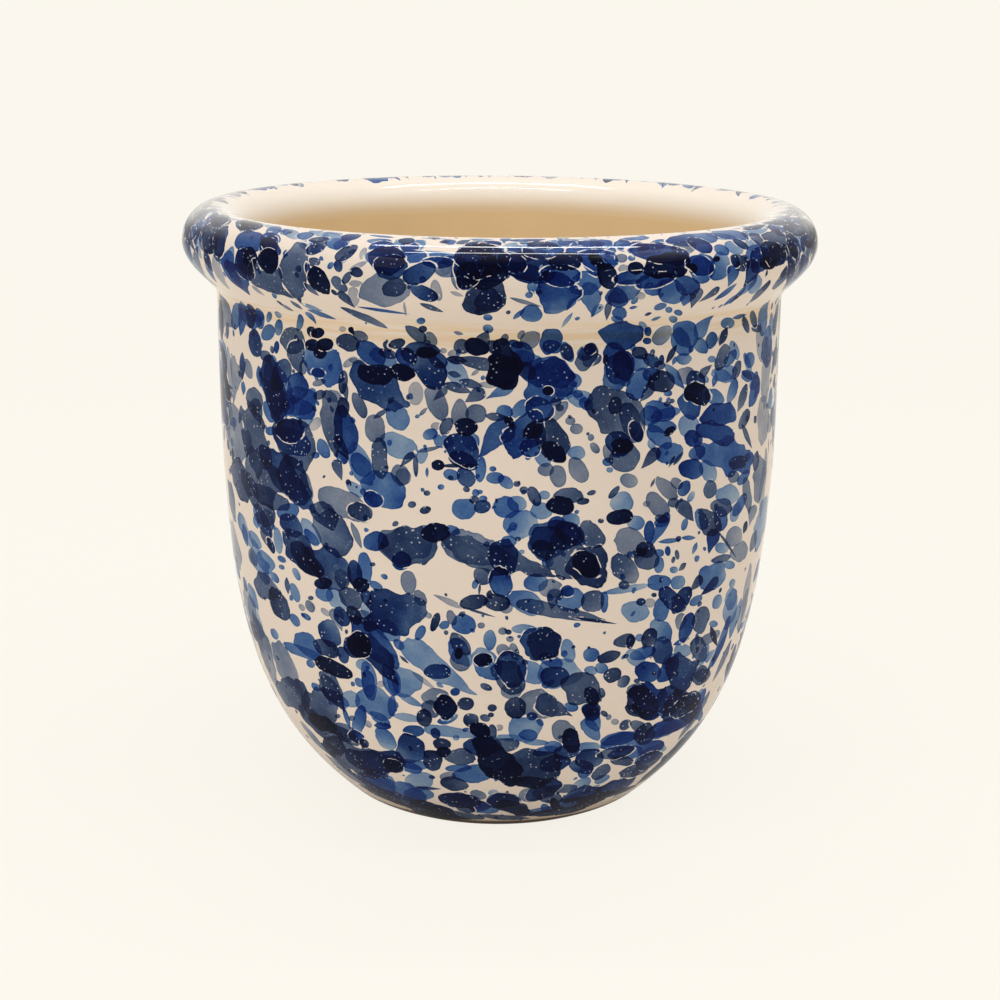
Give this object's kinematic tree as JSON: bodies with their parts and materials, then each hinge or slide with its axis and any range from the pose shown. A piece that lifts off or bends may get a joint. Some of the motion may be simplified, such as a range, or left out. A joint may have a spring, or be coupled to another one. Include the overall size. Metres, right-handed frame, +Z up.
{
  "type": "plant pot",
  "caption": "Round glazed earthenware plant pot with a bowl-shaped base, straight collar, heavy rolled rim, bare clay foot ring and drain hole; cream glaze splattered with cobalt outside.",
  "frame": {"origin": "on the pot's axis, at the height where its foot ring meets the table", "axes": "+Z up along the axis of the pot, out of its mouth; X and Y lie in the table, and -Y faces the viewer"},
  "size_m": [0.2, 0.2, 0.192],
  "materials": {
    "bare_clay": "matte",
    "splattered_glaze": "gloss",
    "cream_glaze": "gloss"
  },
  "bodies": {
    "root": {"clay_body": "bare_clay", "outer_glaze": "splattered_glaze", "inner_glaze": "cream_glaze"}
  },
  "joints": []
}
